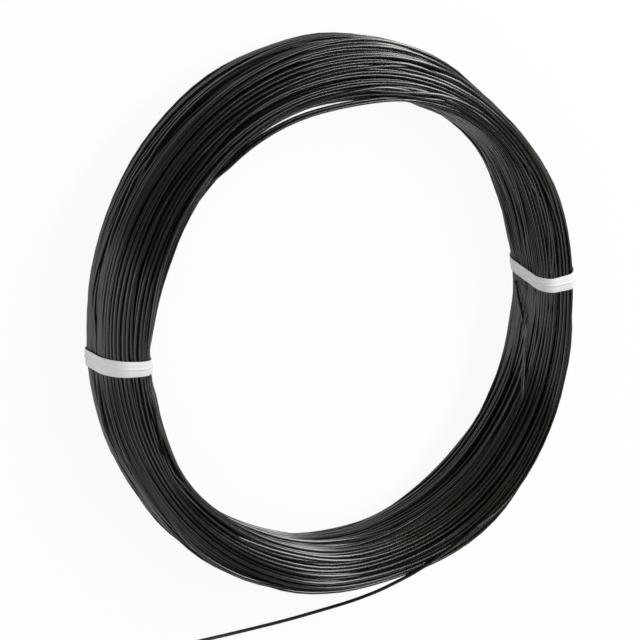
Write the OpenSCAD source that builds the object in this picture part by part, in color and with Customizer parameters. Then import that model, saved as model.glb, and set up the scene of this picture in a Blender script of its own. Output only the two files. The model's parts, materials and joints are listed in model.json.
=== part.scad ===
// Coil of bonsai training wire: one wire wound into a ring-shaped bundle and held by two ties.
// The coil lies on its back. Its axis is Z, its front faces up and the origin is the centre of its eye.

/* [Wire] */
// Diameter of the wire
wire_d = 1; // [0.8:0.05:1.2]

/* [Coil] */
// Diameter of the eye, the round opening in the middle of the coil
eye_d = 127.5; // [110:0.5:160]
// Thickness of the bundle of turns, from the eye to the outside
bundle_t = 16; // [13:0.5:20]
// Width of the bundle along the coil's axis
bundle_w = 19.5; // [15:0.5:28]
// Radius of the bundle's rounded corners
corner_r = 5.5; // [4:0.25:6]
// Depth of the grooves between neighbouring turns
groove_depth = 0.35; // [0.2:0.05:0.4]

/* [Ties] */
// Width of a tie's flat strip
tie_w = 4.2; // [3:0.1:6]
// Thickness of a tie's flat strip
tie_t = 0.35; // [0.2:0.05:0.6]
// Diameter of the core wire along the middle of a tie, which shows as a ridge
tie_core_d = 0.7; // [0.5:0.05:1]
// Clearance between a tie and the turns that it holds
tie_gap = 0.2; // [0.15:0.05:0.4]
// Place of the left tie round the coil, in degrees from the +X side towards +Y
left_angle = 182.5; // [160:0.5:200]
// Place of the right tie round the coil, in degrees from the +X side towards +Y
right_angle = 6.5; // [-20:0.5:40]
// Slant of the left tie across the bundle, in degrees
left_slant = 3.5; // [0:0.5:6]
// Slant of the right tie across the bundle, in degrees
right_slant = 10; // [0:1:12]
// Length of the twisted end that closes each tie, under the bundle's edge
twist_len = 8; // [5:0.5:10]
// Room between the bundle's edge and a tie's twisted end
twist_gap = 0.4; // [0.3:0.05:0.5]

/* [Hidden] */
wire_black = "#2a2a28";
tie_white = "#e6e7e8";
$fn = 64;

eye_r = eye_d / 2;
wire_r = wire_d / 2;
outer_r = eye_r + bundle_t;
middle_r = eye_r + bundle_t / 2;

// The section's straight sides between its corners, and the corners' own centre.
flat_w = bundle_w - 2 * corner_r;
flat_t = bundle_t - 2 * corner_r;

// The centres of the turns that show lie one wire radius inside the section's outline.
turn_corner_r = corner_r - wire_r;
corner_turns = floor(turn_corner_r * PI / 2 / wire_d);
width_turns = floor(flat_w / wire_d);
side_turns = floor(flat_t / wire_d);
turn_angle = 90 / corner_turns;

// The core that joins the turns reaches the bottom of the grooves between them.
core_corner_r = corner_r - groove_depth;
eye_land_w = flat_w + 2 * core_corner_r * sin(turn_angle / 2);

// A tie pulls the turns in by its own thickness, so that it lies just below the bundle's surface.
tie_ridge = (tie_core_d - tie_t) / 2;
tie_clear = 0.075;
tie_waist = tie_gap + tie_t + tie_ridge + tie_clear;
twist_r = tie_core_d;

// The loose end leaves the coil's upper outer edge, comes down beside the coil and lies on the floor.
loose_route = [
    [42, -66.5, 8.7], [36, -69.9, 8.7], [30, -72.7, 8.6], [25, -75.3, 7.9], [20, -77.8, 6.8],
    [15, -80, 5.4], [10.5, -82, 3.8], [6.5, -83.6, 2.1], [1.5, -85.5, -0.5], [-6, -87.6, -3.8],
    [-15.5, -89.6, -6.9], [-28, -90.8, -8.8], [-43, -91.2, -9.2], [-56, -91.3, -9.2], [-66, -91.3, -9.2]
];

// A point on the section's right half at an angle round the outer corner, and on a corner near the eye.
function outer_corner(radius, angle) =
    [outer_r - corner_r + radius * cos(angle), flat_w / 2 + radius * sin(angle)];
function inner_corner(radius, angle) =
    [eye_r + corner_r - radius * cos(angle), flat_w / 2 + radius * sin(angle)];

// The section's core, drawn with the radius along X and the coil's axis along Y. It is cut straight
// on the eye's side, which gives the eye a plain round wall.
function core_half() = concat(
    [[eye_r, eye_land_w / 2]],
    [for (i = [1 : corner_turns]) inner_corner(core_corner_r, turn_angle * i)],
    [for (i = [1 : side_turns - 1])
        inner_corner(core_corner_r, 90) + [flat_t * i / side_turns, 0]],
    [for (i = [corner_turns : -1 : 0]) outer_corner(core_corner_r, turn_angle * i)]
);
function mirrored(points) = [for (i = [len(points) - 1 : -1 : 0]) [points[i].x, -points[i].y]];

// The centres of the turns that show on one end and its corners.
function end_turns() = concat(
    [for (i = [1 : corner_turns]) inner_corner(turn_corner_r, turn_angle * i)],
    [for (i = [1 : side_turns - 1])
        inner_corner(turn_corner_r, 90) + [flat_t * i / side_turns, 0]],
    [for (i = [corner_turns : -1 : 0]) outer_corner(turn_corner_r, turn_angle * i)]
);
// The centres of the turns that show on the outside, between its corners.
function outside_turns() =
    [for (i = [1 : width_turns - 1]) [outer_r - wire_r, flat_w * (i / width_turns - 0.5)]];

module about_axis() rotate_extrude($fn = 180) children();

// The section's outline, grown outwards by a distance.
module grown_section(grow) translate([middle_r, 0]) {
    square([flat_t, bundle_w + 2 * grow], center = true);
    square([bundle_t + 2 * grow, flat_w], center = true);
    for (x = [-1, 1], y = [-1, 1]) translate([x * flat_t / 2, y * flat_w / 2]) circle(corner_r + grow);
}

// A layer round the whole bundle, between two distances from its surface.
module wrap(from, to) about_axis() difference() {
    grown_section(to);
    grown_section(from);
}

// The frame of a tie: X runs outwards through the bundle, Y along the turns and Z across them.
module at_tie(angle, slant) rotate([0, 0, angle]) translate([middle_r, 0, 0]) rotate([slant, 0, 0]) children();
module tie_place(angle, slant, width) at_tie(angle, slant)
    cube([2 * bundle_t, width, 2 * bundle_w], center = true);

// The waist that a tie pulls into the bundle.
module waist(angle, slant) intersection() {
    wrap(-tie_waist, wire_d);
    tie_place(angle, slant, tie_w + 2 * tie_gap);
}

// The wound wire: one turned solid with its bore, whose turns show on its ends and its outside.
module wire_coil() color(wire_black) difference() {
    union() {
        about_axis() polygon(concat(core_half(), mirrored(core_half())));
        about_axis() for (at = concat(end_turns(), mirrored(end_turns()), outside_turns()))
            translate(at) circle(wire_r);
    }
    waist(left_angle, -left_slant);
    waist(right_angle, right_slant);
}

// A smooth curve through the route's points.
function route_at(route, i, t) =
    let (
        last = len(route) - 1,
        a = route[max(i - 1, 0)], b = route[i], c = route[min(i + 1, last)], d = route[min(i + 2, last)]
    )
    0.5 * (2 * b + (c - a) * t + (2 * a - 5 * b + 4 * c - d) * t * t + (3 * b - a - 3 * c + d) * t * t * t);
function smooth_route(route, parts) = concat(
    [for (i = [0 : len(route) - 2], k = [0 : parts - 1]) route_at(route, i, k / parts)],
    [route[len(route) - 1]]
);
function unit(v) = v / norm(v);
function heading(path, i) = unit(path[min(i + 1, len(path) - 1)] - path[max(i - 1, 0)]);

// A tube of a given radius along a path.
module tube(path, radius, sides) {
    rings = [for (i = [0 : len(path) - 1])
        let (along = heading(path, i), across = unit(cross(along, [0, 0, 1])), above = cross(across, along))
        for (s = [0 : sides - 1])
            let (turn = 360 * (s + 0.5) / sides)
            path[i] + radius * (cos(turn) * across + sin(turn) * above)];
    last = (len(path) - 1) * sides;
    walls = [for (i = [0 : len(path) - 2], s = [0 : sides - 1])
        let (a = i * sides + s, b = i * sides + (s + 1) % sides)
        [a, b, b + sides, a + sides]];
    start = [for (s = [sides - 1 : -1 : 0]) s];
    end = [for (s = [0 : sides - 1]) last + s];
    polyhedron(points = rings, faces = concat([start], walls, [end]), convexity = 4);
}

module loose_end() color(wire_black) tube(smooth_route(loose_route, 4), wire_r, 8);

// A tie: a flat strip with a wire core, closed round the bundle. Its two ends are twisted together and
// tucked under the bundle's edge, along the turns, on the outer side (1) or on the eye's side (-1).
module tie(angle, slant, side) {
    intersection() {
        wrap(tie_gap - tie_waist, tie_gap + tie_t - tie_waist);
        tie_place(angle, slant, tie_w);
    }
    intersection() {
        wrap(tie_gap + tie_t / 2 - tie_waist, tie_gap + tie_t + tie_ridge - tie_waist);
        tie_place(angle, slant, tie_core_d);
    }
    neck_start = corner_r + tie_gap + tie_t / 2 - tie_waist;
    twist_at = corner_r + twist_gap + twist_r;
    neck_along = (flat_w / 2 + neck_start * cos(45)) * tan(slant);
    at_tie(angle, 0) translate([side * flat_t / 2, neck_along, -flat_w / 2]) {
        rotate([0, side * 135, 0]) translate([0, 0, neck_start])
            cylinder(r = tie_core_d / 2, h = twist_at - neck_start);
        translate(twist_at * [side * sin(45), 0, -cos(45)]) rotate([-90, 0, 0])
            translate([0, 0, -tie_core_d]) cylinder(r = twist_r, h = twist_len);
    }
}

module left_tie() color(tie_white) tie(left_angle, -left_slant, -1);
module right_tie() color(tie_white) tie(right_angle, right_slant, 1);

wire_coil();
loose_end();
left_tie();
right_tie();
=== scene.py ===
# %% [markdown]
# # A coil of bonsai training wire
#
# The object is one long piece of thin, dark anodised aluminium wire, wound by hand into a ring-shaped
# bundle and held by two white plastic ties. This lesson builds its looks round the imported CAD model. The
# model gives the shared frame and the sizes to stay within, so it is loaded and measured first. The camera
# and the loose end follow, then the wound turns, the ties, the finishes, the floor and the lamps.

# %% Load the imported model
import json
import math

import bpy
import numpy as np
from mathutils import Matrix, Vector

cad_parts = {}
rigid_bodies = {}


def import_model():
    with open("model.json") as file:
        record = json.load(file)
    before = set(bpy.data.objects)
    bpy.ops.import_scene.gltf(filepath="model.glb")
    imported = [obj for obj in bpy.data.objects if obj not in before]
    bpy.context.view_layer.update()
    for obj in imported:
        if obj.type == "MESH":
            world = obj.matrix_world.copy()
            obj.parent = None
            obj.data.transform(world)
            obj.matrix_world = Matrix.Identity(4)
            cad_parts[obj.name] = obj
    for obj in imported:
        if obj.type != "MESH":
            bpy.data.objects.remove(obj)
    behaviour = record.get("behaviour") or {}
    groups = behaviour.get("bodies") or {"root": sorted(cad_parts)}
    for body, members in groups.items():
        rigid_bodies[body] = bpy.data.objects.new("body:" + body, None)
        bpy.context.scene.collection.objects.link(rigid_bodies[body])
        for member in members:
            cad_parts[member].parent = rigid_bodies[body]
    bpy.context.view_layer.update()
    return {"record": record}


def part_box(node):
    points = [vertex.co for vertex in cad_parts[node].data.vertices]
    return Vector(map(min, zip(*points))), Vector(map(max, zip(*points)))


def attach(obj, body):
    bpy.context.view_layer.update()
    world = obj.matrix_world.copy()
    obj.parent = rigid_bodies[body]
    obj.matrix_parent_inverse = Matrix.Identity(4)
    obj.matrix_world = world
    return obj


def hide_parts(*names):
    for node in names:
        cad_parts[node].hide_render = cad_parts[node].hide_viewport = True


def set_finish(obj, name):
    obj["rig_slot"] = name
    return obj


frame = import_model()
MM = 0.001
coil_low, coil_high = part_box("wire_coil")
FLOOR_Z = coil_low.z
eye_mount = frame["record"]["mounts"][0]
print(f"coil: {2 * coil_high.y / MM:.1f} mm across, {(coil_high.z - FLOOR_Z) / MM:.1f} mm wide")
print(f"eye: {2 * eye_mount['dims']['r_mm']:.1f} mm across")

# %% [markdown]
# The coil lies on its back. The camera looks at its front from above, from a place leaning well to the left
# and a little to the far side, about eight times the radius of the turns away. The coil's far side is the
# top of the picture. The camera's own three directions follow from the two leans and give its rotation.
# The aim lies a few millimetres beside the middle of the eye.

# %% Camera
LEAN_LEFT = math.radians(32.6)
LEAN_BACK = math.radians(11.5)
VIEW_DISTANCE = 576 * MM
AIM_LEFT = 7.1 * MM
SENSOR_W = 36.0
LENS = 112.94
NEAR_LIMIT = 0.01
FAR_LIMIT = 20

toward_camera = Vector((
    -math.sin(LEAN_LEFT) * math.cos(LEAN_BACK),
    math.sin(LEAN_BACK),
    math.cos(LEAN_LEFT) * math.cos(LEAN_BACK),
))
view_right = Vector((0, 1, 0)).cross(toward_camera).normalized()
view_up = toward_camera.cross(view_right)
camera_data = bpy.data.cameras.new("camera")
camera_data.sensor_width = SENSOR_W
camera_data.lens = LENS
camera_data.clip_start = NEAR_LIMIT
camera_data.clip_end = FAR_LIMIT
camera = bpy.data.objects.new("camera", camera_data)
bpy.context.collection.objects.link(camera)
camera.rotation_euler = Matrix((view_right, view_up, toward_camera)).transposed().to_euler()
camera.location = toward_camera * VIEW_DISTANCE - view_right * AIM_LEFT
bpy.context.scene.camera = camera
print(f"camera: lens {camera_data.lens:.1f} mm at {VIEW_DISTANCE:.3f} m")

# %% [markdown]
# Every stretch of wire is a tube. A curve with a bevel would give one too, but a mesh built by hand stays
# light, and one tube can carry on exactly where another stops. A tube has a ring of points round its line
# at each step. The rings must not twist, so each one takes its directions from the line and from up, which
# the line never runs along.

# %% Rings round a line
WIRE_D = 1.0 * MM
TUBE_SIDES = 8
# The corners of an eight-sided tube stand out a little, so that it is as thick as a round wire on average.
CORNERS_OUT = 1.03
WIRE_RING_R = CORNERS_OUT * WIRE_D / 2
UP = (0, 0, 1)


def unit(v):
    return v / np.linalg.norm(v, axis=-1, keepdims=True)


def line_directions(line):
    return unit(np.gradient(line, axis=0))


def side_directions(along):
    """The directions across a line and above it, square to the line and to each other."""
    across = unit(np.cross(along, UP))
    return across, np.cross(across, along)


def ring_quads(count, sides, closed=False):
    """The faces between neighbouring rings of points. A closed row of rings comes back to its first."""
    i = np.arange(count if closed else count - 1)[:, None]
    j = np.arange(sides)[None, :]
    after_i = (i + 1) % count
    after_j = (j + 1) % sides
    corners = [i * sides + j, i * sides + after_j, after_i * sides + after_j, after_i * sides + j]
    return np.stack(corners, axis=-1).reshape(-1, 4)


print(f"rings: {TUBE_SIDES} sides, {2 * WIRE_RING_R / MM:.2f} mm over the corners of the wire's")

# %% [markdown]
# A tube's open ends are closed with flat caps, which are the wire's cut ends and get a finish of their own.
# Where another tube carries on, there is no cap, and a leading point beyond the end steers the last ring.
# A layer of coordinates follows the tube, so that the wire's sheen can run with it.

# %% A tube along a line
ALONG = "along_the_wire"


def along_coordinates(count, sides):
    """For each corner of a tube's faces, the step along the tube and the side round it."""
    step, side = np.meshgrid(np.arange(count - 1), np.arange(sides), indexing="ij")
    corners = [step, side, step, side + 1, step + 1, side + 1, step + 1, side]
    return np.stack(corners, axis=-1).ravel()


def tube_mesh(name, lines, radius, lead=(0, 0)):
    """One mesh with a tube along each line. Leading points only steer an end that another tube continues."""
    turn = (2 * np.pi * (np.arange(TUBE_SIDES) + 0.5) / TUBE_SIDES)[None, :, None]
    points = []
    quads = []
    coordinates = []
    caps = []
    first = 0
    for line in lines:
        along = line_directions(line)
        line, along = (v[lead[0]:len(v) - lead[1]] for v in (line, along))
        across, above = side_directions(along)
        ring = np.cos(turn) * across[:, None] + np.sin(turn) * above[:, None]
        points.append((line[:, None] + radius * ring).reshape(-1, 3))
        quads.append(first + ring_quads(len(line), TUBE_SIDES))
        coordinates.append(along_coordinates(len(line), TUBE_SIDES))
        last = first + (len(line) - 1) * TUBE_SIDES
        if not lead[0]:
            caps.append([first + side for side in reversed(range(TUBE_SIDES))])
        if not lead[1]:
            caps.append([last + side for side in range(TUBE_SIDES)])
        first = last + TUBE_SIDES
    walls = np.concatenate(quads).tolist()
    mesh = bpy.data.meshes.new(name)
    mesh.from_pydata(np.concatenate(points).tolist(), [], walls + caps)
    is_cap = np.arange(len(walls) + len(caps)) >= len(walls)
    mesh.polygons.foreach_set("use_smooth", ~is_cap)
    mesh.polygons.foreach_set("material_index", is_cap.astype(np.int32))
    wall_coordinates = np.concatenate(coordinates)
    layer = np.zeros(2 * len(mesh.loops), np.float32)
    layer[:len(wall_coordinates)] = wall_coordinates
    mesh.uv_layers.new(name=ALONG).data.foreach_set("uv", layer)
    mesh.update()
    return mesh


print(f"tubes have a layer of coordinates called {ALONG}")

# %% [markdown]
# The coil has no moving parts, so every piece rides on the root. Each piece hides the solid of the CAD
# model that it stands for, and takes one of two slots, wire or tie. The slots get their finishes later.

# %% Adding pieces


def add_object(name, mesh):
    thing = bpy.data.objects.new(name, mesh)
    bpy.context.collection.objects.link(thing)
    return thing


def add_piece(name, mesh, node, slot):
    """A visible piece that stands for a node of the CAD model."""
    piece = add_object(name, mesh)
    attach(piece, "root")
    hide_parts(node)
    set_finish(piece, slot)
    print(f"{name}: {len(mesh.polygons)} faces, for {node}")
    return piece


# %% [markdown]
# The loose end is the outer end of the wire. It leaves the bundle low on its front edge, comes down to the
# floor in a short, stiff curve, and lies on it in front of the coil. It ends in a bare cut. Its points
# are the ones that the CAD model's own tube follows, joined by the same smooth curve.

# %% The loose end's line
LOOSE_ROUTE = np.array([
    [42, -66.5, 8.7], [36, -69.9, 8.7], [30, -72.7, 8.6], [25, -75.3, 7.9], [20, -77.8, 6.8],
    [15, -80, 5.4], [10.5, -82, 3.8], [6.5, -83.6, 2.1], [1.5, -85.5, -0.5], [-6, -87.6, -3.8],
    [-15.5, -89.6, -6.9], [-28, -90.8, -8.8], [-43, -91.2, -9.2], [-56, -91.3, -9.2], [-66, -91.3, -9.2],
]) * MM
STEPS_PER_POINT = 6


def smooth_between(a, b, c, d, t):
    """A smooth curve from b to c, whose directions at both ends also look to a and d."""
    return 0.5 * (2 * b + (c - a) * t + (2 * a - 5 * b + 4 * c - d) * t**2 + (3 * b - a - 3 * c + d) * t**3)


def smooth_line(points, steps):
    """A smooth curve through the points, with a number of steps between each two."""
    padded = np.concatenate([points[:1], points, points[-1:]])
    t = np.arange(steps)[:, None] / steps
    fours = zip(padded, padded[1:], padded[2:], padded[3:])
    return np.concatenate([smooth_between(*four, t) for four in fours] + [points[-1:]])


def step_lengths(line):
    return np.linalg.norm(np.diff(line, axis=0), axis=1)


loose_line = smooth_line(LOOSE_ROUTE, STEPS_PER_POINT)

# %% [markdown]
# The bundle isn't the same all the way round. A hand-wound coil is drawn tight by its ties and swells
# between them. This one is thickest at the lower right and thinnest at the upper right. Its thickness and
# the radius of its middle are each a mean value with a few waves round the coil, a short way to write a
# smooth closed outline. The width across the turns stays about the same, because the coil lies flat. The
# wire is followed in equal steps of angle, so that each step is a slice through all the turns.

# %% The bundle's section round the coil
TURNS = 208
SLICES = 96
STEP_ANGLE = 2 * math.pi / SLICES
START_ANGLE = math.radians(3.75)
LAST_ANGLE = math.radians(-52.5)
# Beyond the wound wire, a few more slices follow the loose end, so that the turns keep clear of it.
LOOSE_SLICES = 11
BUNDLE_W = 19.3 * MM
CORNER_R = 5.5 * MM
# Each wave is a cosine part and a sine part, in millimetres, for once, twice and up to eight times round.
MEAN_THICKNESS = 18.5
THICKNESS_WAVES = [
    (0, -0.5), (-0.2, -5.1), (-0.5, -0.8), (1.6, 1.2), (-0.4, 2.0), (1.2, 1.4), (-0.4, 0.2), (0.6, 0.1),
]
MEAN_MIDDLE = 72.3
MIDDLE_WAVES = [
    (0.4, -0.45), (0, -0.3), (-0.35, 0), (-0.6, 0), (0.15, 0), (-0.1, 0), (-0.1, -0.05), (-0.05, -0.1),
]


def round_the_coil(mean, waves, angle):
    total = np.full_like(angle, mean)
    for times, (cosine, sine) in enumerate(waves, start=1):
        total += cosine * np.cos(times * angle) + sine * np.sin(times * angle)
    return total * MM


def bundle_thickness(angle):
    return round_the_coil(MEAN_THICKNESS, THICKNESS_WAVES, angle)


def bundle_middle(angle):
    return round_the_coil(MEAN_MIDDLE, MIDDLE_WAVES, angle)


wound_total = (TURNS - 1) * SLICES + round((START_ANGLE - LAST_ANGLE) / STEP_ANGLE) + 1
points_total = wound_total + LOOSE_SLICES
turn_angle = START_ANGLE - STEP_ANGLE * np.arange(points_total)
thickness = bundle_thickness(turn_angle)
middle = bundle_middle(turn_angle)
print(f"bundle: {thickness.min() / MM:.1f} to {thickness.max() / MM:.1f} mm thick")

# %% [markdown]
# Each tie is a closed band pulled tight round the bundle. It has a rounded section of its own, thinner than
# the bundle's, and may lean along the turns. The turns run through it, so near a tie the bundle narrows
# smoothly to the band's inside. One function says how firmly a point of the wire is drawn in: it is 1
# inside the tie and falls to 0 on both sides.

# %% Where the ties lie
TIE_T = 0.35 * MM
TIE_ROOM = 0.1 * MM
# Within this distance of a tie's middle line, the turns are fully drawn in.
PINCH_FULL = 3.2 * MM
# The angle is the tie's place round the coil. The slant is how it leans along the turns from the bundle's
# back to its front, and the turn is how it leans from the eye to the outside. Thickness, width and corner
# are those of the band's outer section, and middle is that section's distance from the coil's axis. The
# reach is how far along the turns the bundle narrows, after the tie and before it as the wire runs.
TIES = {
    "left_tie": dict(
        angle=math.radians(182.6), slant=math.radians(-3.5), turn=math.radians(8),
        thickness=15.4 * MM, width=19.1 * MM, corner=6.5 * MM, middle=72.6 * MM, reach=(10 * MM, 10 * MM),
    ),
    "right_tie": dict(
        angle=math.radians(6.5), slant=math.radians(20), turn=math.radians(-1.5),
        thickness=14.3 * MM, width=19.1 * MM, corner=4.8 * MM, middle=72.5 * MM, reach=(16 * MM, 8 * MM),
    ),
}


def angle_between(angle, centre):
    """The signed angle from a centre, the short way round."""
    return np.angle(np.exp(1j * (angle - centre)))


def smooth_step(t):
    t = np.clip(t, 0, 1)
    return t * t * (3 - 2 * t)


def along_turns(tie, outwards, across):
    """How far the tie's middle line lies along the turns, at a place in the section."""
    return -across * math.tan(tie["slant"]) - outwards * math.tan(tie["turn"])


def near_tie(tie, angle, outwards, across):
    """1 inside the tie, falling smoothly to 0 on both sides of it."""
    distance = angle_between(angle, tie["angle"]) * tie["middle"] - along_turns(tie, outwards, across)
    reach = np.where(distance < 0, *tie["reach"])
    return smooth_step((reach - np.abs(distance)) / (reach - PINCH_FULL))


for name, tie in TIES.items():
    print(f"{name}: {math.degrees(tie['angle']):.1f} degrees round, {tie['thickness'] / MM:.1f} mm thick")

# %% [markdown]
# Three short stretches of the wire have a place of their own. The inner end starts just below the right tie
# and runs over the other turns on the eye's side, up to the front. The outer end is where the loose end
# leaves the bundle. Near the top two turns hang off the bundle towards the eye, with a narrow gap behind
# them. Leaving these to a simulation would be slow and hard to steer, so they are placed one by one and held.
# Beside the last two the bundle gets thinner: on the outside at the exit, and towards the eye at the gap.

# %% Room for the hanging turns and the loose end
HANG_ANGLE = math.radians(103.5)
HANG_REACH = math.radians(35)
HANG_DEPTH = 2.8 * MM
EXIT_ANGLE = math.radians(-73)
EXIT_REACH = math.radians(30)
EXIT_DEPTH = 2.6 * MM


def bump(centre, reach):
    """1 at a centre round the coil, falling smoothly to 0 at its reach on both sides."""
    return smooth_step(1 - np.abs(angle_between(turn_angle, centre)) / reach)


hang = bump(HANG_ANGLE, HANG_REACH)
leaving = bump(EXIT_ANGLE, EXIT_REACH)
eye_side = middle - thickness / 2
thickness = thickness - HANG_DEPTH * hang - EXIT_DEPTH * leaving
middle = middle + HANG_DEPTH * hang / 2 - EXIT_DEPTH * leaving / 2
print(f"bundle, with this room left: {thickness.min() / MM:.1f} to {thickness.max() / MM:.1f} mm thick")

# %% [markdown]
# A stretch that is held says which points of the wire it has, where they lie across the width and outwards
# from the bundle's middle, and how firmly they are held. The two ends are held fully. A hanging turn is
# held less and less towards the ends of its stretch, so that it joins the other turns without a dent.

# %% Stretches with a place of their own
# Each row: degrees round the coil, millimetres across the width, millimetres from the axis.
INNER_END = np.array([
    (4.3, -4.6, 65.3), (0.4, -1.6, 64.0), (-4.8, 3.0, 62.6), (-8.4, 4.8, 62.9), (-12.3, 5.0, 63.5),
    (-17.7, 5.5, 64.3), (-23.0, 6.8, 65.1), (-27.3, 8.2, 66.0),
])
# Each row: the turn's number, millimetres across the width, and millimetres outwards from the eye's
# side where it leaves the bundle's surface and where it hangs lowest.
HANGING_TURNS = [(1, 7.0, 1.7, 2.0), (2, 6.1, 1.8, 2.6)]
# A turn starts to hang and is held fully where the gap has these shares of its depth.
HANG_START = 0.02
HANG_FIRM = 0.35
FULLY = 1.0


def inner_stretch():
    count = int((START_ANGLE - math.radians(INNER_END[-1, 0])) / STEP_ANGLE) + 1
    at = np.arange(count)
    degrees = np.degrees(turn_angle[at])
    across, radius = (np.interp(-degrees, -INNER_END[:, 0], INNER_END[:, k]) * MM for k in (1, 2))
    return at, np.stack([across, radius - middle[at]], axis=1), FULLY


def loose_stretch():
    at = np.arange(wound_total, points_total)
    line_angle = np.arctan2(loose_line[:, 1], loose_line[:, 0])
    line_radius = np.hypot(*loose_line.T[:2])
    here = angle_between(turn_angle[at], 0.0)
    across, radius = (np.interp(-here, -line_angle, v) for v in (loose_line[:, 2], line_radius))
    return at, np.stack([across, radius - middle[at]], axis=1), FULLY


def hanging_stretch(number, across, on_surface, lowest):
    at = np.arange(number * SLICES, (number + 1) * SLICES)
    at = at[hang[at] > HANG_START]
    firmly = smooth_step(hang[at] / HANG_FIRM)
    outwards = (on_surface + (lowest - on_surface) * firmly) * MM
    from_middle = eye_side[at] + outwards - middle[at]
    return at, np.stack([np.full(len(at), across * MM), from_middle], axis=1), firmly[:, None]


held = [inner_stretch(), loose_stretch()] + [hanging_stretch(*row) for row in HANGING_TURNS]
print("points that are held:", [len(at) for at, place, firmly in held])

# %% [markdown]
# The rest of the wire is laid in layers like thread on a spool: one layer runs across the width, and the
# next one runs back on top of it. A place is written as two numbers from -1 to 1, across the width and from
# the eye to the outside, so that it fits a bundle of any thickness. The layers bend with the section's
# rounded corners.

# %% Lay the wire in layers
LAYERS = 12
LAYER_BEND = 0.3


def layered_places():
    """Places in the section, from -1 to 1 across the width and from the eye to the outside."""
    progress = np.arange(points_total) / points_total * LAYERS
    layer = np.minimum(progress.astype(int), LAYERS - 1)
    within = progress - layer
    across = np.where(layer % 2 == 0, 1 - 2 * within, 2 * within - 1)
    outwards = (layer + 0.5) / LAYERS * 2 - 1
    bent_across = across * np.sqrt(1 - LAYER_BEND * outwards**2)
    bent_outwards = outwards * np.sqrt(1 - LAYER_BEND * across**2)
    return np.stack([bent_across, bent_outwards], axis=1)


print(f"layers: {LAYERS}, with about {TURNS / LAYERS:.0f} turns each")

# %% [markdown]
# In a hand-wound bundle, neighbouring turns lie together in flat strands, with dark gaps between one strand
# and the next. The whole pattern also rolls over a little from place to place, where the hand let the bundle
# turn. Both are smooth changes to the layered places: a roll about the section's middle, and waves round
# it that draw the places together.

# %% Roll the section and draw it into strands
# Each row: degrees round the coil, degrees by which the section is rolled there.
SECTION_ROLLS = [(-135, -14), (-85, 16), (-20, 4), (22, 14), (110, -16), (185, 12)]
# Each row: strands round the section, how often they wind round it along the coil, how tight they
# are drawn, and where they start.
STRANDS = [(9, 2, 0.8, 0.0), (14, -1, 0.9, 1.0), (21, 3, 0.3, 2.0)]


def round_table(rows, angle):
    """A smooth curve round the coil through rows of degrees and a value."""
    degrees = np.degrees(angle) % 360
    rows = sorted((d % 360, v) for d, v in rows)
    rows = [(rows[-1][0] - 360, rows[-1][1])] + rows + [(rows[0][0] + 360, rows[0][1])]
    total = np.zeros_like(angle)
    for (start, first), (end, second) in zip(rows, rows[1:]):
        here = (degrees >= start) & (degrees < end)
        total[here] = first + (second - first) * smooth_step((degrees[here] - start) / (end - start))
    return total


def rolled(values, angle):
    """Roll places about the middle of the section. A positive angle takes the front outwards."""
    across, outwards = values.T
    new_across = across * np.cos(angle) - outwards * np.sin(angle)
    new_outwards = outwards * np.cos(angle) + across * np.sin(angle)
    return np.stack([new_across, new_outwards], axis=1)


def bunched(values):
    """Draw neighbouring turns together into flat strands, with gaps between one strand and the next."""
    across, outwards = values.T
    distance = np.hypot(across, outwards)
    place = np.arctan2(outwards, across)
    moved = place.copy()
    for strands, times_round, share, start in STRANDS:
        moved += share / strands * np.sin(strands * place + times_round * turn_angle + start)
    return np.stack([distance * np.cos(moved), distance * np.sin(moved)], axis=1)


half_section = np.stack([np.full_like(thickness, BUNDLE_W), thickness], axis=1) / 2
section_roll = np.radians(round_table(SECTION_ROLLS, turn_angle))
spread_out = bunched(rolled(layered_places(), section_roll)) * (half_section - WIRE_D / 2)
print("strands round the section:", [row[0] for row in STRANDS])

# %% [markdown]
# No turn runs quite true. Each one wanders with a slow part and a quick part, and the quick part dies down
# towards the ties. The noise is smooth along the whole wire, so each turn drifts away from its neighbours
# and back, as a real one does. Where a turn is held, the wandering gives way to its own place.

# %% Let the wire wander
SEED = 14
LOOSE_REACH = math.radians(40)
# Each part has its size and the number of turns over which it changes.
SLOW_WANDER = 0.35 * MM
SLOW_TURNS = 1.7
QUICK_WANDER = 0.4 * MM
QUICK_TURNS = 0.31
rng = np.random.default_rng(SEED)


def smooth_noise(turns, columns):
    """Noise along the whole wire that changes smoothly over a number of turns."""
    period = SLICES * turns
    knots = rng.normal(size=(int(points_total / period) + 4, columns))
    place = np.arange(points_total) / period
    whole = place.astype(int)
    t = (place - whole)[:, None]
    return smooth_between(*(knots[whole + k] for k in range(4)), t)


def keep_held(values):
    for at, place, firmly in held:
        values[at] += firmly * (place - values[at])
    return values


from_ties = [np.abs(angle_between(turn_angle, tie["angle"])) for tie in TIES.values()]
loose = np.clip(np.minimum.reduce(from_ties) / LOOSE_REACH, 0, 1)[:, None]
wander = SLOW_WANDER * smooth_noise(SLOW_TURNS, 2) + loose * QUICK_WANDER * smooth_noise(QUICK_TURNS, 2)
places = keep_held(spread_out + wander)
print(f"wire: {TURNS} turns, {wound_total} points, wandering by up to {np.abs(wander).max() / MM:.1f} mm")

# %% [markdown]
# The bundle's surface isn't even either: some turns lie deeper than their neighbours. Waves that cross the
# section and wind round it along the coil give patches of deeper turns, and noise along the wire gives each
# turn a depth of its own. This only makes each turn's room smaller. The turns move into it when the bundle
# settles.

# %% Leave an uneven edge
# The waves' number and length, and the greatest depth below the surface.
EDGE_WAVES = 6
EDGE_LENGTH = 5.5 * MM
EDGE_DEPTH = 1.3 * MM
# A wave moves on by a whole number of lengths in each turn, up to this many, so the patches have no seam.
MOST_LENGTHS = 4
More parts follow.
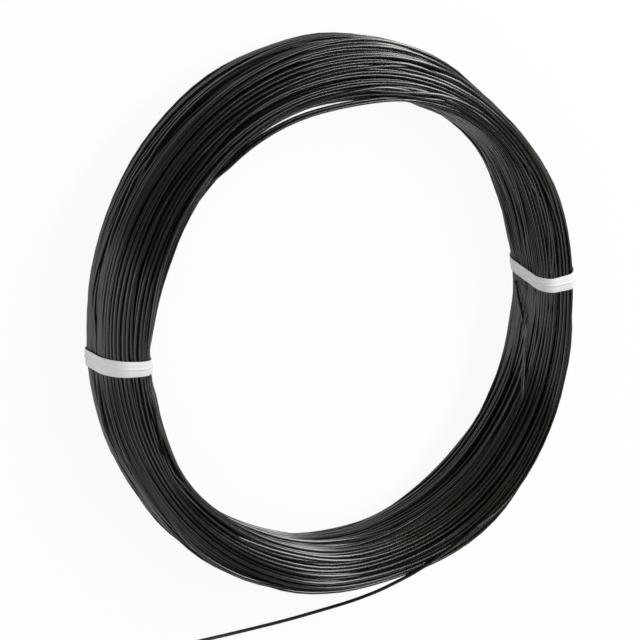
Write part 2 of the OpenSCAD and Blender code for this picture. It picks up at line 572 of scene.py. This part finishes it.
# What the patches and a turn's own noise add to the depth, and the turns over which that noise changes.
PATCH_SHARE = 0.45
OWN_SHARE = 0.25
OWN_TURNS = 0.45
# The share of the depth that is left at the ties.
DEPTH_AT_TIES = 0.3


def uneven_edge(values):
    """How far below the bundle's surface each turn has to stay, so that some lie deeper than others."""
    field = np.zeros(len(values))
    for _ in range(EDGE_WAVES):
        lean, start = rng.uniform(0, 2 * np.pi, 2)
        lengths = rng.integers(-MOST_LENGTHS, MOST_LENGTHS + 1)
        along_lean = values @ [np.cos(lean), np.sin(lean)]
        field += np.sin(2 * np.pi / EDGE_LENGTH * along_lean + lengths * turn_angle + start)
    patches = PATCH_SHARE * field / math.sqrt(EDGE_WAVES / 2)
    own_depth = OWN_SHARE * smooth_noise(OWN_TURNS, 1)[:, 0]
    return EDGE_DEPTH * np.clip(patches + own_depth, 0, 1)[:, None]


depth = (DEPTH_AT_TIES + (1 - DEPTH_AT_TIES) * loose) * uneven_edge(spread_out)
room = half_section - depth
print(f"deepest turns: {depth.max() / MM:.2f} mm below the surface")

# %% [markdown]
# Now many points lie too close together, and wires can't share a place. In a slice, every two turns that
# are closer than the wire is thick push each other apart. Only the nearest neighbours matter, so a short
# list of them is kept for each turn and renewed now and then. This is simpler and much quicker than a rope
# simulation, and it gives the same result each time.

# %% Push close turns apart
NEIGHBOURS = 12
SPACING = 1.01 * WIRE_D
PUSH = 1.3
# A tiny length keeps two turns in the same place from dividing by zero.
TINY_GAP = 1e-9
# The last turn isn't whole, so points parked far away fill its slices.
FAR_AWAY = 10.0
spare = TURNS * SLICES - points_total
parked = np.stack([np.arange(spare) + FAR_AWAY, np.zeros(spare)], axis=1)
own = np.arange(TURNS)


def by_slice(values):
    return np.concatenate([values, parked]).reshape(TURNS, SLICES, 2).transpose(1, 0, 2)


def nearest(values):
    """For each turn in each slice, the numbers of the turns nearest to it."""
    found = np.empty((SLICES, TURNS, NEIGHBOURS), int)
    for number, here in enumerate(by_slice(values)):
        square = ((here[:, None] - here[None]) ** 2).sum(-1)
        square[own, own] = np.inf
        found[number] = np.argpartition(square, NEIGHBOURS, axis=1)[:, :NEIGHBOURS]
    return found


def away_from_near(values, near):
    slices = by_slice(values)
    return slices[:, :, None] - slices[np.arange(SLICES)[:, None, None], near]


def separate(values, near):
    """Move turns that are too close by about half of what is missing, and by less if many push."""
    away = away_from_near(values, near)
    gap = np.linalg.norm(away, axis=-1) + TINY_GAP
    overlap = np.maximum(SPACING - gap, 0)
    push = (away * (0.5 * overlap / gap)[..., None]).sum(2)
    touching = np.maximum((overlap > 0).sum(2), 1)
    push *= (PUSH / np.sqrt(touching))[..., None]
    return values + push.transpose(1, 0, 2).reshape(-1, 2)[:points_total]


near = nearest(places)
gaps = np.linalg.norm(away_from_near(places, near), axis=-1).min(2)
print("closest turns before they are pushed, mm:", np.round(np.percentile(gaps, [1, 5, 50]) / MM, 3))

# %% [markdown]
# Pushing alone would burst the bundle. So after each push, every turn is drawn back inside the bundle's
# rounded section, and near a tie inside the tie's. Then the wire is smoothed along its length, because a
# stiff wire makes no sharp bends.

# %% Keep the turns inside
# Like the tiny gap, for a point that doesn't stick out.
TINY_DISTANCE = 1e-12


def pull_in(values, centre, half, corner, share):
    """Bring the points back inside a rounded section by a share of what sticks out."""
    inside = half - WIRE_D / 2
    round_r = np.minimum(corner - WIRE_D / 2, inside.min(axis=-1, keepdims=True))
    off = values - centre
    beyond = np.maximum(np.abs(off) - (inside - round_r), 0)
    distance = np.linalg.norm(beyond, axis=1, keepdims=True) + TINY_DISTANCE
    excess = np.maximum(distance - round_r, 0)
    return values - share * np.sign(off) * beyond * excess / distance


def keep_inside(values):
    values = pull_in(values, 0.0, room, CORNER_R, 1.0)
    for tie in TIES.values():
        share = near_tie(tie, turn_angle, values[:, 1], values[:, 0])
        some = share > 0
        centre = np.stack([np.zeros(some.sum()), tie["middle"] - middle[some]], axis=1)
        half = np.array([[tie["width"] / 2, tie["thickness"] / 2]]) - TIE_T - TIE_ROOM
        corner = tie["corner"] - TIE_T - TIE_ROOM
        values[some] = pull_in(values[some], centre, half, corner, share[some, None])
    return values


def smoothed(values, amount):
    bend = np.zeros_like(values)
    bend[1:-1] = (values[:-2] + values[2:]) / 2 - values[1:-1]
    return values + amount * bend


print(f"room inside a tie: {2 * (TIE_T + TIE_ROOM) / MM:.1f} mm less than across its outside")

# %% [markdown]
# Repeated many times, the pushing, the holding and the smoothing pack the turns about as tightly as they are
# in a real coil. A slight pull towards the first places keeps the strands and fades out on the way. The last
# rounds smooth less, which leaves the turns further apart. Most turns then just touch. At about a tenth of
# the points, a turn still presses into its neighbour by more than a tenth of the wire's thickness.

# %% Let the bundle settle
ROUNDS = 160
ROUNDS_PER_SEARCH = 8
FIRST_PULL = 0.03
SMOOTHING = 0.35
LAST_ROUNDS = 6
LAST_SMOOTHING = 0.15
first_places = places.copy()

for number in range(ROUNDS):
    if number % ROUNDS_PER_SEARCH == 0:
        near = nearest(places)
    places = separate(places, near)
    places += FIRST_PULL * (1 - number / ROUNDS) * (first_places - places)
    places = keep_inside(places)
    places = keep_held(smoothed(places, SMOOTHING if number < ROUNDS - LAST_ROUNDS else LAST_SMOOTHING))
places = keep_held(keep_inside(places))

gaps = np.linalg.norm(away_from_near(places, near), axis=-1).min(2)
print("closest turns, mm:", np.round(np.percentile(gaps, [0.1, 1, 5, 50]) / MM, 3))

# %% [markdown]
# The places in the section become points in space, and the wire is swept. It is one long line, from the
# inner end through all the turns to the loose end's cut. The line is split into three stretches: the loose
# end is a piece of its own in the CAD model, and the wound wire is lighter to handle in two halves. Each
# stretch is steered by the one beside it, so no seam shows.

# %% Sweep the turns and the loose end
radius = middle + places[:, 1]
all_points = np.stack([radius * np.cos(turn_angle), radius * np.sin(turn_angle), places[:, 0]], axis=1)
wound_line = all_points[:wound_total]
whole_line = np.concatenate([wound_line, loose_line])
half_way = len(wound_line) // 2
STRETCHES = {
    "inner_turns": ("wire_coil", 0, half_way),
    "outer_turns": ("wire_coil", half_way, len(wound_line)),
    "loose_end_wire": ("loose_end", len(wound_line), len(whole_line) - 1),
}
for name, (node, start, end) in STRETCHES.items():
    lead = (int(start > 0), int(end < len(whole_line) - 1))
    stretch = whole_line[start - lead[0]:end + 1 + lead[1]]
    add_piece(name, tube_mesh(name, [stretch], WIRE_RING_R, lead), node, "wire")
print(f"wound wire: {step_lengths(wound_line).sum():.1f} m")

# %% [markdown]
# A tie is a flat strip of soft white plastic with a thin wire inside, which shows as a fine raised line
# along its middle. The strip's profile has rounded edges and the raised line, so both come from the mesh
# and show in the outline too. The path that the strip follows is the tie's rounded section, in even steps.

# %% The strip's profile and path
TIE_W = 4.2 * MM
EDGE_R = 0.12 * MM
RIDGE_HALF = 0.3 * MM
RIDGE_H = 0.17 * MM
# The share of its radius by which the edge's middle point is set in, and the shares of its height that the
# ridge has reached at its side and half-way from there to its middle line.
EDGE_SET_IN = 0.3
RIDGE_SIDE = 0.08
RIDGE_SHOULDER = 0.8
# The section is first drawn in fine steps. Points at even distances are then taken from it.
FINE_STEPS = 4000


def strip_profile():
    """The strip's outline: places across its width and heights above its inner face."""
    half = TIE_W / 2
    set_in = EDGE_R * EDGE_SET_IN
    edge = [(-half, EDGE_R), (-half + set_in, TIE_T - set_in), (-half + EDGE_R, TIE_T)]
    foot = [(-2 * RIDGE_HALF, TIE_T), (-RIDGE_HALF, TIE_T + RIDGE_H * RIDGE_SIDE)]
    ridge = [(-RIDGE_HALF / 2, TIE_T + RIDGE_H * RIDGE_SHOULDER), (0, TIE_T + RIDGE_H)]
    left = edge + foot + ridge
    right = [(-w, h) for w, h in reversed(left[:-1])]
    under = [(half - EDGE_R, 0.0), (-half + EDGE_R, 0.0)]
    return np.array(left + right + under)


def length_along(line):
    """The length from a line's start to each of its points."""
    return np.concatenate([[0], np.cumsum(step_lengths(line))])


def rounded_section(thickness, width, corner, count):
    """Points and outward directions round a section, evenly spaced, with the eye's side first."""
    turn = 2 * np.pi * np.arange(FINE_STEPS) / FINE_STEPS + np.pi
    out = np.stack([np.cos(turn), np.sin(turn)], axis=1)
    points = np.sign(out) * (np.array([thickness, width]) / 2 - corner) + corner * out
    closed = np.concatenate([points, points[:1]])
    length = length_along(closed)
    at = length[-1] * np.arange(count) / count
    place = np.stack([np.interp(at, length, closed[:, k]) for k in (0, 1)], axis=1)
    ahead = np.roll(place, -1, axis=0) - np.roll(place, 1, axis=0)
    return place, unit(np.stack([ahead[:, 1], -ahead[:, 0]], axis=1))


profile = strip_profile()
print(f"strip: {TIE_W / MM:.1f} mm wide, {profile[:, 1].max() / MM:.2f} mm thick at its raised line")

# %% [markdown]
# The profile is swept round the path and comes back to its start, which makes a closed band without ends.
# Where a tie leans, each point of its path is moved along the turns by as much as its lean says.

# %% Sweep the ties' strips
STEPS_AROUND = 240


def on_bundle(tie, place, offset):
    """A point in space from places in the tie's section and along the turns."""
    angle = tie["angle"] + (along_turns(tie, place[..., 0], place[..., 1]) + offset) / tie["middle"]
    radius = tie["middle"] + place[..., 0]
    return np.stack([radius * np.cos(angle), radius * np.sin(angle), place[..., 1]], axis=-1)


def closed_sweep(name, rings):
    """A closed mesh from rings of points that come back to the first."""
    mesh = bpy.data.meshes.new(name)
    quads = ring_quads(*rings.shape[:2], closed=True)
    mesh.from_pydata(rings.reshape(-1, 3).tolist(), [], quads.tolist())
    mesh.polygons.foreach_set("use_smooth", np.ones(len(quads), bool))
    mesh.update()
    return mesh


def tie_strip(name, tie):
    inner = [tie["thickness"] - 2 * TIE_T, tie["width"] - 2 * TIE_T, tie["corner"] - TIE_T]
    section, outward = rounded_section(*inner, STEPS_AROUND)
    place = section[:, None] + profile[None, :, 1, None] * outward[:, None]
    offset = np.broadcast_to(profile[None, :, 0] / math.cos(tie["slant"]), place.shape[:2])
    return closed_sweep(name, on_bundle(tie, place, offset))


for name, tie in TIES.items():
    add_piece(name + "_strip", tie_strip(name + "_strip", tie), name, "tie")

# %% [markdown]
# The two ends of each tie are twisted together like a cord of two strands. The twist starts at the strip,
# turns along the wire and lies in the room under the bundle's rounded lower edge: on the eye's side for the
# left tie and on the outside for the right one. Its two strands are tubes that wind round one line, so the
# sweep that made the wire makes them as well.

# %% Twist the ties' ends
TWIST_SIDES = {"left_tie": -1, "right_tie": 1}
# How far along the turns each point of the twist's line lies.
TWIST_OFFSETS = np.array([0, 0.1, 0.9, 2.5, 5, 8]) * MM
TWIST_LENGTH = TWIST_OFFSETS[-1]
TWIST_STRAND_R = 0.38 * MM
TWIST_PITCH = 3.6 * MM
TWIST_ROOM = 0.1 * MM
TWIST_STEPS = 12


def twist_line(tie, side):
    """The line from the tie's lower corner to the free tip of the twist."""
    outwards = np.array([side, -1]) * math.sqrt(0.5)
    strip_corner = np.array([side * (tie["thickness"] / 2 - tie["corner"]), tie["corner"] - tie["width"] / 2])
    at_strip = strip_corner + outwards * (tie["corner"] - TIE_T / 2)
    half_along = np.array([tie["angle"] + TWIST_LENGTH / 2 / tie["middle"]])
    beside = bundle_thickness(half_along)[0] / 2 - CORNER_R
    shift = bundle_middle(half_along)[0] - tie["middle"]
    bundle_corner = np.array([shift + side * beside, CORNER_R - BUNDLE_W / 2])
    tucked = bundle_corner + outwards * (CORNER_R + TWIST_ROOM + 2 * TWIST_STRAND_R)
    between = (at_strip + tucked) / 2
    places = np.array([at_strip, between, tucked, tucked, tucked, tucked])
    leaning = along_turns(tie, places[:, 0], places[:, 1])
    offsets = TWIST_OFFSETS + along_turns(tie, *at_strip) - leaning
    return smooth_line(on_bundle(tie, places, offsets), TWIST_STEPS)


def two_strands(line):
    """Two lines that wind round a line on opposite sides of it."""
    across, above = side_directions(line_directions(line))
    turn = (2 * np.pi * length_along(line) / TWIST_PITCH)[:, None]
    around = TWIST_STRAND_R * (np.cos(turn) * across + np.sin(turn) * above)
    return [line + around, line - around]


for name, tie in TIES.items():
    strands = two_strands(twist_line(tie, TWIST_SIDES[name]))
    add_piece(name + "_twist", tube_mesh(name + "_twist", strands, TWIST_STRAND_R), name, "tie")
    lowest = min(strand[:, 2].min() for strand in strands) - TWIST_STRAND_R
    print(f"{name}: twist {TWIST_LENGTH / MM:.0f} mm long, {(lowest - FLOOR_Z) / MM:.2f} mm above the floor")

# %% [markdown]
# No real surface is quite even. Dyed wire, plastic and bare metal all change a little in colour from place
# to place, and in sheen too. One node group gives both changes as two masks, from noise in the object's
# own space. Each finish uses the group with scales of its own, and a shader that stays in the material.

# %% A group for uneven surfaces
# Each row: a mask and how much fine detail its noise has.
MASKS = (("Coarse", 2.0), ("Fine", 3.0))


def uneven_group():
    group = bpy.data.node_groups.new("uneven_surface", "ShaderNodeTree")
    for name, _ in MASKS:
        group.interface.new_socket(name=name + " Scale", in_out="INPUT", socket_type="NodeSocketFloat")
    for name, _ in MASKS:
        group.interface.new_socket(name=name, in_out="OUTPUT", socket_type="NodeSocketFloat")
    inside = group.nodes.new("NodeGroupInput")
    outside = group.nodes.new("NodeGroupOutput")
    place = group.nodes.new("ShaderNodeTexCoord")
    for name, detail in MASKS:
        noise = group.nodes.new("ShaderNodeTexNoise")
        noise.inputs["Detail"].default_value = detail
        group.links.new(place.outputs["Object"], noise.inputs["Vector"])
        group.links.new(inside.outputs[name + " Scale"], noise.inputs["Scale"])
        group.links.new(noise.outputs["Fac"], outside.inputs[name])
    return group


uneven = uneven_group()
print(f"{uneven.name} gives the masks", [name for name, _ in MASKS])

# %% [markdown]
# A finish is a material with two colours and two roughnesses to go between: the coarse mask blends the
# colours, and the fine mask the roughness. What doesn't change over the surface is set on the shader.

# %% Making a finish
# Noise seldom goes beyond these values, so they stand for its lowest and highest.
NOISE_LOW = 0.3
NOISE_HIGH = 0.7


def spread(tree, mask, low, high):
    """A value that goes from low to high with a mask."""
    node = tree.nodes.new("ShaderNodeMapRange")
    node.inputs["From Min"].default_value = NOISE_LOW
    node.inputs["From Max"].default_value = NOISE_HIGH
    node.inputs["To Min"].default_value = low
    node.inputs["To Max"].default_value = high
    tree.links.new(mask, node.inputs["Value"])
    return node.outputs["Result"]


def blend(tree, mask, first, second):
    """A colour that goes from the first to the second with a mask."""
    node = tree.nodes.new("ShaderNodeMix")
    node.data_type = "RGBA"
    node.inputs["A"].default_value = (*first, 1)
    node.inputs["B"].default_value = (*second, 1)
    tree.links.new(mask, node.inputs["Factor"])
    return node.outputs["Result"]


def finish(name, first, second, rough, coarse, fine, ior):
    """A material and its shader, with a colour and a roughness that change over the surface."""
    material = bpy.data.materials.new(name)
    material.use_nodes = True
    tree = material.node_tree
    shader = tree.nodes["Principled BSDF"]
    masks = tree.nodes.new("ShaderNodeGroup")
    masks.node_tree = uneven
    masks.inputs["Coarse Scale"].default_value = coarse
    masks.inputs["Fine Scale"].default_value = fine
    tree.links.new(blend(tree, masks.outputs["Coarse"], first, second), shader.inputs["Base Color"])
    tree.links.new(spread(tree, masks.outputs["Fine"], *rough), shader.inputs["Roughness"])
    shader.inputs["IOR"].default_value = ior
    print(f"{name}: roughness {rough[0]} to {rough[1]}")
    return material, shader


# %% [markdown]
# The wire is aluminium, anodised almost black: a dark, very slightly olive coat with a satin sheen. The
# colour and the sheen change a little along and between the turns, as they do on drawn and dyed wire. The
# fine lines that drawing leaves run along the wire, so its sheen spreads across it. The anisotropic value
# does that, with the tube's own coordinates as its direction. The wire's cut ends are bare metal. The ties
# are soft white plastic, a little translucent, which a rough white surface shows well enough.

# %% Wire and tie finishes
WIRE_ANISOTROPY = 0.8
# A quarter of a turn away from the direction along the wire.
ACROSS_THE_WIRE = 0.25
WARM_TINT = (1.0, 0.995, 0.96, 1)

wire_finish, wire_shader = finish("dark_anodised_wire", (0.004, 0.004, 0.0025), (0.010, 0.0095, 0.0065),
                                  rough=(0.21, 0.27), coarse=140.0, fine=60.0, ior=1.52)
wire_shader.inputs["Anisotropic"].default_value = WIRE_ANISOTROPY
wire_shader.inputs["Anisotropic Rotation"].default_value = ACROSS_THE_WIRE
wire_shader.inputs["Specular Tint"].default_value = WARM_TINT
tree = wire_finish.node_tree
along_the_wire = tree.nodes.new("ShaderNodeTangent")
along_the_wire.direction_type = "UV_MAP"
along_the_wire.uv_map = ALONG
tree.links.new(along_the_wire.outputs["Tangent"], wire_shader.inputs["Tangent"])
tie_finish, _ = finish("white_tie_plastic", (0.71, 0.72, 0.73), (0.75, 0.755, 0.76),
                       rough=(0.5, 0.6), coarse=90.0, fine=700.0, ior=1.45)
cut_finish, cut_shader = finish("bare_cut_aluminium", (0.70, 0.70, 0.69), (0.80, 0.80, 0.79),
                                rough=(0.3, 0.4), coarse=300.0, fine=2500.0, ior=1.45)
cut_shader.inputs["Metallic"].default_value = 1.0

# For each slot, the finish of a piece's walls and that of its cut ends.
FINISHES = {"wire": (wire_finish, cut_finish), "tie": (tie_finish, tie_finish)}
for thing in bpy.data.objects:
    for material in FINISHES.get(thing.get("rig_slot"), ()):
        thing.data.materials.append(material)

# %% [markdown]
# The coil lies on a plain white floor, which has to look white without strong lamps on it. So the floor
# glows for the camera, and for what is seen in or through a shiny or clear surface. For all other light it
# stays a plain white surface that bounces light up on the coil. A small share of the plain surface is left
# in what the camera sees, which keeps a soft shadow under the coil.

# %% Floor and backdrop
FLOOR_SIZE = 3
FLOOR_WHITE = (0.85, 0.85, 0.85, 1)
FLOOR_ROUGHNESS = 0.9
GLOW_STRENGTH = 1.0
SHADOW_SHARE = 0.07
WORLD_WHITE = (1, 1, 1, 1)
WORLD_STRENGTH = 0.09


def floor_material():
    material = bpy.data.materials.new("white_floor")
    material.use_nodes = True
    tree = material.node_tree
    plain = tree.nodes["Principled BSDF"]
    plain.inputs["Base Color"].default_value = FLOOR_WHITE
    plain.inputs["Roughness"].default_value = FLOOR_ROUGHNESS
    glow = tree.nodes.new("ShaderNodeEmission")
    glow.inputs["Strength"].default_value = GLOW_STRENGTH
    rays = tree.nodes.new("ShaderNodeLightPath")
    seen = rays.outputs["Is Camera Ray"]
    for ray in ("Is Glossy Ray", "Is Transmission Ray"):
        either = tree.nodes.new("ShaderNodeMath")
        either.operation = "MAXIMUM"
        tree.links.new(seen, either.inputs[0])
        tree.links.new(rays.outputs[ray], either.inputs[1])
        seen = either.outputs["Value"]
    share = tree.nodes.new("ShaderNodeMath")
    share.operation = "MULTIPLY"
    share.inputs[1].default_value = 1 - SHADOW_SHARE
    mix = tree.nodes.new("ShaderNodeMixShader")
    tree.links.new(seen, share.inputs[0])
    tree.links.new(share.outputs["Value"], mix.inputs["Fac"])
    tree.links.new(plain.outputs["BSDF"], mix.inputs[1])
    tree.links.new(glow.outputs["Emission"], mix.inputs[2])
    tree.links.new(mix.outputs["Shader"], tree.nodes["Material Output"].inputs["Surface"])
    return material


signs = ((-1, -1), (1, -1), (1, 1), (-1, 1))
floor_corners = [(x * FLOOR_SIZE, y * FLOOR_SIZE, FLOOR_Z) for x, y in signs]
floor_mesh = bpy.data.meshes.new("floor")
floor_mesh.from_pydata(floor_corners, [], [(0, 1, 2, 3)])
floor_mesh.materials.append(floor_material())
floor = add_object("floor", floor_mesh)

world = bpy.data.worlds.new("studio")
bpy.context.scene.world = world
world.use_nodes = True
backdrop = world.node_tree.nodes["Background"]
backdrop.inputs["Color"].default_value = WORLD_WHITE
backdrop.inputs["Strength"].default_value = WORLD_STRENGTH
print(f"floor: {2 * FLOOR_SIZE} m wide, {-FLOOR_Z / MM:.2f} mm below the coil's middle")

# %% [markdown]
# A round wire shines where it runs square to the direction half-way between the lamp and the camera. So one
# lamp draws bright lines along the turns at one place round the coil and at the place across from it. Each
# lamp is a strip: narrow along the turns, to keep those places short, and long across them, to give every
# turn its line. The key lamp stands low at the far right and lights the far and the near side. A wide one
# on the left lights the turns beside the ties, and a weak one overhead fills in between. The standard view
# shows the colours as they are.

# %% Lamps


def strip_lamp(name, toward, turns_at, distance, width, length, energy):
    """A lamp that looks at the coil, narrow along the turns at one place and long across them."""
    data = bpy.data.lights.new(name, "AREA")
    data.shape = "RECTANGLE"
    data.size = width
    data.size_y = length
    data.energy = energy
    lamp = bpy.data.objects.new(name, data)
    away = Vector(toward).normalized()
    turns = Vector((-math.sin(math.radians(turns_at)), math.cos(math.radians(turns_at)), 0))
    narrow = (turns - away * turns.dot(away)).normalized()
    lamp.location = away * distance
    lamp.rotation_euler = Matrix((narrow, away.cross(narrow), away)).transposed().to_euler()
    bpy.context.collection.objects.link(lamp)
    print(f"{name} lamp: {energy} W at {distance} m")


strip_lamp("key", (0.70, 0.43, 0.57), turns_at=75, distance=0.9, width=0.2, length=1.2, energy=11)
strip_lamp("side", (0.15, -0.34, 0.93), turns_at=20, distance=1.0, width=0.25, length=0.8, energy=1.5)
strip_lamp("left", (-0.85, -0.05, 0.5), turns_at=174, distance=1.1, width=0.7, length=0.9, energy=5.5)
bpy.context.scene.view_settings.view_transform = "Standard"

# %% [markdown]

# %% Finish
print("scene built")
